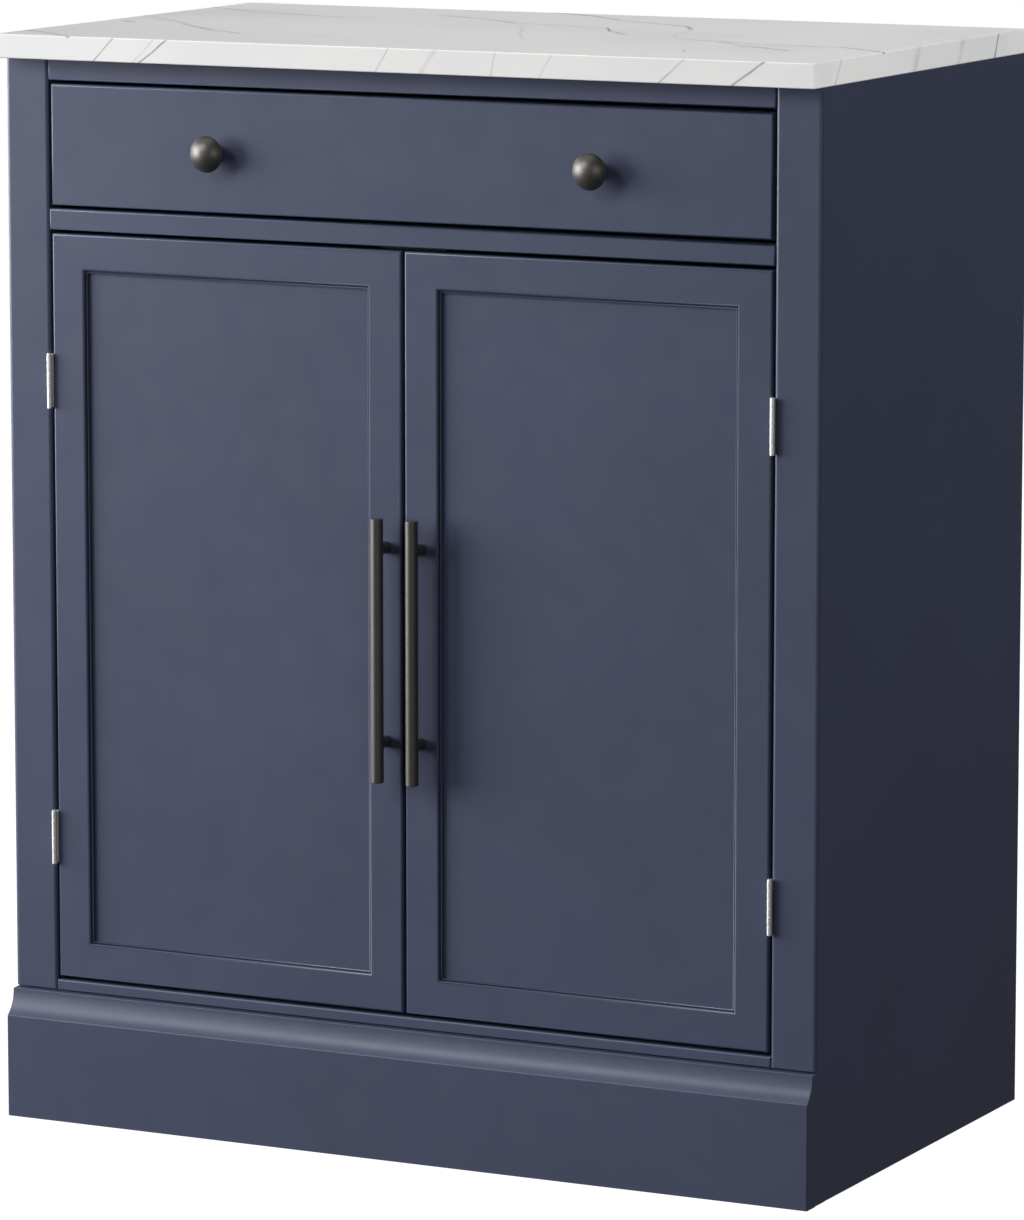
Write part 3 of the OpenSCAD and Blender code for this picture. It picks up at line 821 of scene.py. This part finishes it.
def makeSlide(side, member):
    node = side + "_" + slides["members"][member]["node"]
    low, high = boxOf(node)
    web, tip = (high.x, low.x) if side == "right" else (low.x, high.x)
    if member == "inner":
        web, tip = tip, web
    bodies = {"outer": "carcass", "middle": side + "_slide_middle", "inner": "drawer"}
    points = [(tip, low.z), (web, low.z), (web, high.z), (tip, high.z)]
    if slides["members"][member]["lips"]:
        lip = slides["lip"] * mm
        points = [(tip, low.z + lip), *points, (tip, high.z - lip)]
    path = roundedPath(points, slides["bend"] * mm)
    inward = slides["metal"] * mm * (1 if web > tip else -1)
    outline = stripOutline(path, inward)
    bm = bmesh.new()
    ends = [vertsAt(bm, [(x, y, z) for x, z in outline]) for y in (low.y, high.y)]
    bridge(bm, *ends)
    for end in ends:
        bm.faces.new(end)
    piece = weighNormals(objectFrom(side + member.title() + "Slide", bm, zincSteel, smoothUpTo))
    return place(piece, bodies[member], "zinc_steel", node)


for side in sideNames:
    for member in slides["members"]:
        makeSlide(side, member)
print("slides made")


# knobs and handles

knob = {
    "footRadius": 8.0, "footHeight": 1.8, "neckRadius": 5.2, "neckHeight": 8.6,
    "rimRadius": 15.0, "rimHeight": 12.6, "rimEdge": 1.1, "baseHeight": 0,
    "rimTuck": 0.35, "domeSteps": 14,
    # the outline below the dome: a named radius and a change to it, a named height and a change
    "outline": [
        ("foot", -0.4, "base", 0), ("foot", 0, "base", 0.4),
        ("foot", 0, "foot", -0.5), ("foot", -0.5, "foot", 0),
        ("neck", 0.9, "foot", 0.5), ("neck", 0, "foot", 1.6),
        ("neck", 0, "neck", -0.6), ("neck", 1.0, "neck", 0.5),
        ("rim", -2.2, "rim", -1.5), ("rim", -0.5, "rim", -0.7), ("rim", 0, "rim", 0.1),
    ],
}


def knobProfile(reach):
    # from the foot to the top of the dome, in millimetres
    rise = reach - knob["rimHeight"]
    rim = knob["rimRadius"]
    dome = (rim * rim + rise * rise) / (2 * rise)
    steps = knob["domeSteps"]
    rimAngle = math.degrees(math.asin((rim - knob["rimEdge"] * knob["rimTuck"]) / dome))
    domeArc = [
        (dome * math.sin(math.radians(a)), reach - dome + dome * math.cos(math.radians(a)))
        for a in [rimAngle * (1 - i / steps) for i in range(steps)]
    ]
    below = [
        (knob[part + "Radius"] + wider, knob[level + "Height"] + higher)
        for part, wider, level, higher in knob["outline"]
    ]
    return [(0, 0), *below, *domeArc, (0, reach)]


def makeKnob(side):
    node = side + "_knob"
    low, high = boxOf(node)
    centre = ((low.x + high.x) / 2, high.y, (low.z + high.z) / 2)
    profile = [(r * mm, h * mm) for r, h in knobProfile((high.y - low.y) / mm)]
    piece = lathe(side + "Knob", centre, (0, -1, 0), profile, gunmetal, steps=72, sharpAngle=40)
    return place(piece, "drawer", "gunmetal", node)


handle = {
    "barEnd": 0.5, "postRadius": 4.9, "postFoot": 5.0, "footHeight": 1.0,
    "footEdge": 0.3, "footRounding": 0.2,
}


def makeBar(side):
    node = side + "_handle_bar"
    low, high = boxOf(node)
    radius, end, length = (high.x - low.x) / 2, handle["barEnd"] * mm, high.z - low.z
    profile = [
        (0, 0), (radius - end, 0), (radius, end),
        (radius, length - end), (radius - end, length), (0, length),
    ]
    centre = ((low.x + high.x) / 2, (low.y + high.y) / 2, low.z)
    piece = lathe(side + "HandleBar", centre, (0, 0, 1), profile, gunmetal, steps=64, sharpAngle=50)
    return place(piece, side + "_door", "gunmetal", node)


def makePosts(side):
    node = side + "_handle_posts"
    low, high = boxOf(node)
    barLow, barHigh = boxOf(side + "_handle_bar")
    x = (low.x + high.x) / 2
    length = high.y - (barLow.y + barHigh.y) / 2
    post, foot = handle["postRadius"] * mm, handle["postFoot"] * mm
    edge, top = handle["footEdge"] * mm, handle["footHeight"] * mm
    profile = [
        (0, 0), (foot - edge, 0), (foot, edge), (foot, top - handle["footRounding"] * mm),
        (post, top), (post, length), (0, length),
    ]
    half = (high.x - low.x) / 2
    posts = [
        lathe(side + "Post", (x, high.y, z), (0, -1, 0), profile, gunmetal, steps=40)
        for z in (low.z + half, high.z - half)
    ]
    return place(joined(side + "HandlePosts", posts), side + "_door", "gunmetal", node)


for side in sideNames:
    makeKnob(side)
    makeBar(side)
    makePosts(side)
print("knobs and handles made")


# Geometry Nodes: screws and hinge knuckles

def geometryTree(name, inputs):
    tree = bpy.data.node_groups.new(name, "GeometryNodeTree")
    tree.interface.new_socket("Geometry", in_out="INPUT", socket_type="NodeSocketGeometry")
    for label, kind in inputs.items():
        tree.interface.new_socket(label, in_out="INPUT", socket_type="NodeSocket" + kind)
    tree.interface.new_socket("Geometry", in_out="OUTPUT", socket_type="NodeSocketGeometry")
    return tree


def combine(tree, x=0.0, y=0.0, z=0.0):
    return addNode(tree, "ShaderNodeCombineXYZ", {"X": x, "Y": y, "Z": z}).outputs["Vector"]


def moved(tree, geometry, offset):
    node = addNode(tree, "GeometryNodeTransform", {"Geometry": geometry, "Translation": offset})
    return node.outputs["Geometry"]


def closeTree(tree, geometry, material):
    # real geometry, one finish
    real = addNode(tree, "GeometryNodeRealizeInstances", {"Geometry": geometry})
    values = {"Geometry": real.outputs["Geometry"], "Material": material}
    finish = addNode(tree, "GeometryNodeSetMaterial", values)
    addNode(tree, "NodeGroupOutput", {0: finish.outputs["Geometry"]})


def screwTree():
    # a cross-recess screw on every point, its head's face on the point and turned to the point's "facing"
    tree = geometryTree("crossRecessScrews", {
        "Head Radius": "Float", "Under Radius": "Float", "Head Depth": "Float", "Recess Size": "Float",
        "Recess Width": "Float", "Recess Depth": "Float", "Shank Radius": "Float", "Shank Length": "Float",
        "Finish": "Material",
    })
    given = addNode(tree, "NodeGroupInput").outputs
    depth = maths(tree, "MULTIPLY", given["Head Depth"], -1.0)
    head = addNode(tree, "GeometryNodeMeshCone", {
        "Vertices": 40, "Radius Top": given["Head Radius"], "Radius Bottom": given["Under Radius"],
        "Depth": given["Head Depth"],
    }).outputs["Mesh"]
    head = moved(tree, head, combine(tree, z=depth))
    deep = maths(tree, "MULTIPLY", given["Recess Depth"], 2.0)
    arms = []
    for sizes in (("Recess Size", "Recess Width"), ("Recess Width", "Recess Size")):
        size = combine(tree, given[sizes[0]], given[sizes[1]], deep)
        arms.append(addNode(tree, "GeometryNodeMeshCube", {"Size": size}).outputs["Mesh"])
    cross = addNode(tree, "GeometryNodeMeshBoolean", operation="UNION", solver="EXACT")
    for arm in arms:
        tree.links.new(arm, cross.inputs["Mesh 2"])
    values = {"Mesh 1": head, "Mesh 2": cross.outputs["Mesh"]}
    cut = addNode(tree, "GeometryNodeMeshBoolean", values, operation="DIFFERENCE", solver="EXACT")
    shank = addNode(tree, "GeometryNodeMeshCylinder", {
        "Vertices": 20, "Radius": given["Shank Radius"], "Depth": given["Shank Length"],
    }).outputs["Mesh"]
    sunk = maths(tree, "MULTIPLY_ADD", given["Shank Length"], -0.5, depth)
    both = addNode(tree, "GeometryNodeJoinGeometry")
    tree.links.new(moved(tree, shank, combine(tree, z=sunk)), both.inputs["Geometry"])
    tree.links.new(cut.outputs["Mesh"], both.inputs["Geometry"])
    facing = addNode(tree, "GeometryNodeInputNamedAttribute", {"Name": "facing"}, data_type="FLOAT_VECTOR")
    values = {"Vector": facing.outputs["Attribute"]}
    turn = addNode(tree, "FunctionNodeAlignRotationToVector", values, axis="Z")
    screws = addNode(tree, "GeometryNodeInstanceOnPoints", {
        "Points": given["Geometry"], "Instance": both.outputs["Geometry"],
        "Rotation": turn.outputs["Rotation"],
    })
    closeTree(tree, screws.outputs["Instances"], given["Finish"])
    return tree


def knuckleTree():
    # a column of knuckles on every point: rounded rings on a common axis, each with its tab to the leaf
    tree = geometryTree("hingeKnuckles", {
        "Count": "Int", "Pitch": "Float", "Length": "Float", "Outer Radius": "Float", "Bore Radius": "Float",
        "Rounding": "Float", "Tab Size": "Vector", "Tab Offset": "Vector", "Finish": "Material",
    })
    given = addNode(tree, "NodeGroupInput").outputs
    wall = maths(tree, "SUBTRACT", given["Outer Radius"], given["Bore Radius"])
    middle = maths(tree, "MULTIPLY_ADD", wall, 0.5, given["Bore Radius"])
    ring = addNode(tree, "GeometryNodeCurvePrimitiveCircle", {"Resolution": 40, "Radius": middle})
    section = addNode(tree, "GeometryNodeCurvePrimitiveQuadrilateral", {
        "Width": wall, "Height": given["Length"],
    })
    soft = addNode(tree, "GeometryNodeFilletCurve", {
        "Curve": section.outputs["Curve"], "Radius": given["Rounding"],
    }, mode="POLY")
    setInputs(tree, soft, {"Limit Radius": True, "Count": 3})
    knuckle = addNode(tree, "GeometryNodeCurveToMesh", {
        "Curve": ring.outputs["Curve"], "Profile Curve": soft.outputs["Curve"],
    })
    tab = addNode(tree, "GeometryNodeMeshCube", {"Size": given["Tab Size"]})
    both = addNode(tree, "GeometryNodeJoinGeometry")
    tree.links.new(knuckle.outputs["Mesh"], both.inputs["Geometry"])
    tree.links.new(moved(tree, tab.outputs["Mesh"], given["Tab Offset"]), both.inputs["Geometry"])
    column = addNode(tree, "GeometryNodeMeshLine", {
        "Count": given["Count"], "Offset": combine(tree, z=given["Pitch"]),
    })
    knuckles = addNode(tree, "GeometryNodeInstanceOnPoints", {
        "Points": column.outputs["Mesh"], "Instance": both.outputs["Geometry"],
    })
    columns = addNode(tree, "GeometryNodeInstanceOnPoints", {
        "Points": given["Geometry"], "Instance": knuckles.outputs["Instances"],
    })
    closeTree(tree, columns.outputs["Instances"], given["Finish"])
    return tree


screwNodes = screwTree()
knuckleNodes = knuckleTree()


def grow(name, points, facing, tree, values):
    # runs a tree on loose points and keeps the result as a plain mesh
    seed = bpy.data.meshes.new(name + "Points")
    seed.from_pydata(points, [], [])
    attribute = seed.attributes.new("facing", "FLOAT_VECTOR", "POINT")
    for item, direction in zip(attribute.data, facing):
        item.vector = direction
    holder = newObject(name + "Holder", seed)
    modifier = holder.modifiers.new(tree.name, "NODES")
    modifier.node_group = tree
    labels = {item.name: item.identifier for item in tree.interface.items_tree if item.in_out == "INPUT"}
    for label, value in values.items():
        modifier[labels[label]] = value
    graph = bpy.context.evaluated_depsgraph_get()
    mesh = bpy.data.meshes.new_from_object(holder.evaluated_get(graph))
    holder.modifiers.clear()
    bpy.data.objects.remove(holder)
    bpy.data.meshes.remove(seed)
    mesh.name = name
    for polygon in mesh.polygons:
        polygon.use_smooth = True
    mesh.set_sharp_from_angle(angle=math.radians(smoothUpTo))
    return newObject(name, mesh)


screwSizes = {
    "wood": {"Head Radius": 2.85, "Under Radius": 1.5, "Head Depth": 1.35, "Recess Size": 3.0,
             "Recess Width": 0.75, "Recess Depth": 0.9, "Shank Radius": 1.45, "Shank Length": 12.4},
    "machine": {"Head Radius": 3.2, "Under Radius": 4.0, "Head Depth": 2.2, "Recess Size": 4.2,
                "Recess Width": 1.0, "Recess Depth": 1.3, "Shank Radius": 1.95, "Shank Length": 25.8},
    "worktop": {"Head Radius": 3.95, "Under Radius": 2.0, "Head Depth": 2.0, "Recess Size": 4.4,
                "Recess Width": 1.0, "Recess Depth": 1.4, "Shank Radius": 1.95, "Shank Length": 27.8},
}


def makeScrews(name, kind, points, facing, body, slotName, finish, node):
    values = {label: size * mm for label, size in screwSizes[kind].items()}
    values["Finish"] = finish
    piece = grow(name, points, facing, screwNodes, values)
    return place(piece, body, slotName, node)


hinge = {
    "leafThickness": 1.1, "leafDepth": 15.0, "cornerRounding": 0.35,
    "knuckles": 6, "gap": 0.3, "rounding": 0.34, "pitch": 44.5 / 6,
    "screwDepth": 8.4, "screwPitch": 28.0, "boreRadius": 1.2, "barrelRadius": 2.15,
    "tabWidth": 0.9, "tabOffset": 0.35, "leafEdge": 0.2, "screwProud": 0.04,
}

screwInset = 4.0 * mm            # from a screw's axis to the side of its node's box


def hingeHeights(side):
    # middles of the lower and the upper hinge
    low, high = boxOf(side + "_frame_leaves")
    halfLeaf = hinge["pitch"] * hinge["knuckles"] / 2 * mm
    return low.z + halfLeaf, high.z - halfLeaf


def makeLeaves(side, part):
    # part is frame or door; the frame's leaf has the lowest knuckle
    node = side + "_" + part + "_leaves"
    sign = 1 if side == "right" else -1
    first = 0 if part == "frame" else 1
    plate = hinge["leafThickness"] * mm
    rearY = boxOf(node)[1].y
    frontY = rearY - hinge["leafDepth"] * mm
    pinLow, pinHigh = boxOf("hinge_pins")
    axisX = sign * (pinHigh.x - (pinHigh.y - pinLow.y) / 2)
    axisY = (pinLow.y + pinHigh.y) / 2
    faceX = min(abs(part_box(side + "_face_stile")[0].x), abs(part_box(side + "_face_stile")[1].x))
    doorX = max(abs(c.x) for c in boxOf(side + "_door_hinge_stile"))
    start = sign * (faceX - plate if part == "frame" else doorX)
    end = start + sign * plate
    pieces = []
    halfLeaf = hinge["pitch"] * hinge["knuckles"] / 2 * mm
    eased = {"rear": hinge["cornerRounding"], "top": hinge["leafEdge"], "bottom": hinge["leafEdge"]}
    for z in hingeHeights(side):
        plateLow = Vector((min(start, end), frontY, z - halfLeaf))
        plateHigh = Vector((max(start, end), rearY, z + halfLeaf))
        pieces.append(easedBoard("plate", plateLow, plateHigh, eased, hingeSteel, segments=2))
    length = (hinge["pitch"] - hinge["gap"]) * mm
    points = [
        (axisX, axisY, z - halfLeaf + (first + 0.5) * hinge["pitch"] * mm) for z in hingeHeights(side)
    ]
    tabDepth = frontY + 1 * mm - axisY
    tabX = math.copysign(hinge["tabOffset"] * mm, (start + end) / 2 - axisX)
    pieces.append(grow(side + part + "Knuckles", points, [(0, 0, 1)] * 2, knuckleNodes, {
        "Count": hinge["knuckles"] // 2, "Pitch": 2 * hinge["pitch"] * mm, "Length": length,
        "Outer Radius": hinge["barrelRadius"] * mm, "Bore Radius": hinge["boreRadius"] * mm,
        "Rounding": hinge["rounding"] * mm, "Tab Size": (hinge["tabWidth"] * mm, tabDepth, length),
        "Tab Offset": (tabX, tabDepth / 2, 0),
        "Finish": hingeSteel,
    }))
    body = side + "_door" if part == "door" else "carcass"
    return place(joined(side + part.title() + "Leaves", pieces), body, "hinge_steel", node)


def leafScrewPoints(side, part):
    sign = 1 if side == "right" else -1
    plate = hinge["leafThickness"] * mm
    faceX = min(abs(corner.x) for corner in boxOf(side + "_face_stile"))
    doorX = max(abs(corner.x) for corner in boxOf(side + "_door_hinge_stile"))
    proud = hinge["screwProud"] * mm
    x = sign * (faceX - plate - proud if part == "frame" else doorX + plate + proud)
    y = boxOf(side + "_frame_leaves")[1].y - (hinge["leafDepth"] - hinge["screwDepth"]) * mm
    half = hinge["screwPitch"] / 2 * mm
    points = [(x, y, z + dz) for z in hingeHeights(side) for dz in (-half, half)]
    facing = (-sign, 0, 0) if part == "frame" else (sign, 0, 0)
    return points, [facing] * len(points)


def headPoints(node, facing):
    # one head at each corner of a node's box that stands for a screw's axis
    low, high = boxOf(node)
    xs = (low.x + screwInset, high.x - screwInset)
    zs = (low.z + screwInset, high.z - screwInset)
    if high.x - low.x < 3 * screwInset:
        xs = ((low.x + high.x) / 2,)
    if high.z - low.z < 3 * screwInset:
        zs = ((low.z + high.z) / 2,)
    points = [(x, high.y, z) for x in xs for z in zs]
    return points, [facing] * len(points)


def makeFasteners():
    frameScrews, frameFacing = [], []
    for side in sideNames:
        points, facing = leafScrewPoints(side, "frame")
        frameScrews += points
        frameFacing += facing
        points, facing = leafScrewPoints(side, "door")
        makeScrews(side + "DoorLeafScrews", "wood", points, facing, side + "_door", "hinge_steel", hingeSteel,
                   side + "_leaf_screws")
        points, facing = headPoints(side + "_handle_screws", (0, 1, 0))
        makeScrews(side + "HandleScrews", "machine", points, facing, side + "_door", "zinc_steel", zincSteel,
                   side + "_handle_screws")
    makeScrews("frameLeafScrews", "wood", frameScrews, frameFacing, "carcass", "hinge_steel", hingeSteel,
               "frame_leaf_screws")
    points, facing = headPoints("knob_screws", (0, 1, 0))
    makeScrews("knobScrews", "machine", points, facing, "drawer", "zinc_steel", zincSteel, "knob_screws")
    low, high = boxOf("countertop_screws")
    xs = (low.x + screwInset, high.x - screwInset)
    ys = (low.y + screwInset, high.y - screwInset)
    points = [(x, y, low.z) for x in xs for y in ys]
    makeScrews("worktopScrews", "worktop", points, [(0, 0, -1)] * 4, "carcass", "zinc_steel", zincSteel,
               "countertop_screws")


for side in sideNames:
    for part in ("frame", "door"):
        makeLeaves(side, part)
makeFasteners()
print("hinges and screws made")


# catch

catch = {"poleHeight": 2.0, "poleInset": 4.0, "poleProud": 0.15, "eased": 1.2}


def makeCatch():
    low, high = boxOf("magnetic_catch")
    proud = catch["poleProud"] * mm
    housing = easedBoard(
        "housing", low + Vector((0, proud, 0)), high, {"front": catch["eased"], "left": 1.2, "right": 1.2},
        catchPlastic,
    )
    pieces = [housing]
    inset, height = catch["poleInset"] * mm, catch["poleHeight"] * mm
    middle = (low.z + high.z) / 2
    for z in (middle - 1.6 * height, middle + 0.6 * height):
        pieces.append(easedBoard(
            "pole", Vector((low.x + inset, low.y, z)), Vector((high.x - inset, low.y + 6 * mm, z + height)),
            {"front": 0.3}, zincSteel, segments=2,
        ))
    return place(joined("magneticCatch", pieces), "carcass", "catch_plastic", "magnetic_catch")


def makeStrike(side):
    node = side + "_strike_plate"
    low, high = boxOf(node)
    piece = easedBoard(side + "StrikePlate", low, high,
                       {"left top": 2, "right top": 2, "left bottom": 2, "right bottom": 2, "rear": 0.4},
                       hingeSteel)
    return place(piece, side + "_door", "hinge_steel", node)


makeCatch()
for side in sideNames:
    makeStrike(side)

plainMetal = {"hinge_pins": hingeSteel, "shelf_pins": hingeSteel}
for node, finish in plainMetal.items():
    frame["nodes"][node].data.materials.clear()
    frame["nodes"][node].data.materials.append(finish)
print("catch made; carried over:", ", ".join(plainMetal))


# floor, light and camera

studio = {
    "floorSize": 30.0,
    "floorGap": 0.3,         # below the cabinet, in millimetres
    "floorGlow": 1.0,
    "floorColour": (0.12, 0.12, 0.12),
    "ambient": 0.06,
    "aim": (0, -0.1, 0.46),
    # place, width and height in metres, power in watts
    "lights": {
        "leftBank": {"place": (-3.93, -1.85, 1.37), "size": (3.2, 2.4), "power": 320},
        "backLeft": {"place": (-3.81, 1.44, 1.33), "size": (2.4, 2.2), "power": 100},
        "highLeft": {"place": (-1.46, -2.35, 2.55), "size": (1.0, 0.8), "power": 32},
        "rightFront": {"place": (2.34, -2.70, 1.33), "size": (1.4, 1.8), "power": 18},
        "rightHigh": {"place": (1.96, 1.03, 2.72), "size": (1.2, 1.2), "power": 37},
        "overhead": {"place": (-0.4, -0.1, 3.1), "size": (1.8, 1.6), "power": 16},
        "backHigh": {"place": (-1.0, 2.6, 2.2), "size": (1.6, 1.2), "power": 5},
        "worktopFill": {"place": (3.0, -0.8, 1.3), "size": (1.5, 1.5), "power": 44, "only": "worktop"},
    },
}


def makeFloor():
    bm = bmesh.new()
    bmesh.ops.create_grid(bm, x_segments=1, y_segments=1, size=studio["floorSize"] / 2)
    material, tree, shader, _ = newMaterial("floorPaper")
    setInputs(tree, shader, {
        "Base Color": (*studio["floorColour"], 1), "Roughness": 1, "Specular IOR Level": 0,
        "Emission Color": (1, 1, 1, 1), "Emission Strength": studio["floorGlow"],
    })
    floor = objectFrom("studioFloor", bm, material)
    for vert in floor.data.vertices:
        vert.co.z = floorZ - studio["floorGap"] * mm
    floor.visible_diffuse = False
    floor.visible_glossy = False
    return floor


def makeWorld():
    world = bpy.data.worlds.new("studioWorld")
    bpy.context.scene.world = world
    world.use_nodes = True
    tree = world.node_tree
    tree.nodes.clear()
    white = {"Color": (1, 1, 1, 1)}
    path = addNode(tree, "ShaderNodeLightPath")
    dim = addNode(tree, "ShaderNodeBackground", {**white, "Strength": studio["ambient"]})
    seen = addNode(tree, "ShaderNodeBackground", white)
    mix = addNode(tree, "ShaderNodeMixShader", {
        "Fac": path.outputs["Is Camera Ray"], 1: dim.outputs["Background"], 2: seen.outputs["Background"],
    })
    addNode(tree, "ShaderNodeOutputWorld", {"Surface": mix.outputs["Shader"]})


def makeLight(name):
    light = studio["lights"][name]
    data = bpy.data.lights.new(name, "AREA")
    data.shape = "RECTANGLE"
    data.size, data.size_y = light["size"]
    data.energy = light["power"]
    lamp = newObject(name, data)
    lamp.location = light["place"]
    lamp.rotation_euler = (Vector(studio["aim"]) - Vector(light["place"])).to_track_quat("-Z", "Y").to_euler()
    if "only" in light:
        lit = bpy.data.collections.new(name + "Lit")
        lit.objects.link(bpy.data.objects[light["only"]])
        lamp.light_linking.receiver_collection = lit
    return lamp


camera = {"place": (2.4689, -4.9191, 1.2995), "pitchDown": 8.99, "turn": 26.66, "lens": 195.7}


def makeCamera():
    data = bpy.data.cameras.new("camera")
    data.lens = camera["lens"]
    data.clip_end = 100
    seen = newObject("camera", data)
    seen.location = camera["place"]
    seen.rotation_euler = (math.radians(90 - camera["pitchDown"]), 0, math.radians(camera["turn"]))
    bpy.context.scene.camera = seen


makeFloor()
makeWorld()
for name in studio["lights"]:
    makeLight(name)
makeCamera()
bpy.context.scene.view_settings.view_transform = "Standard"
print("studio made")
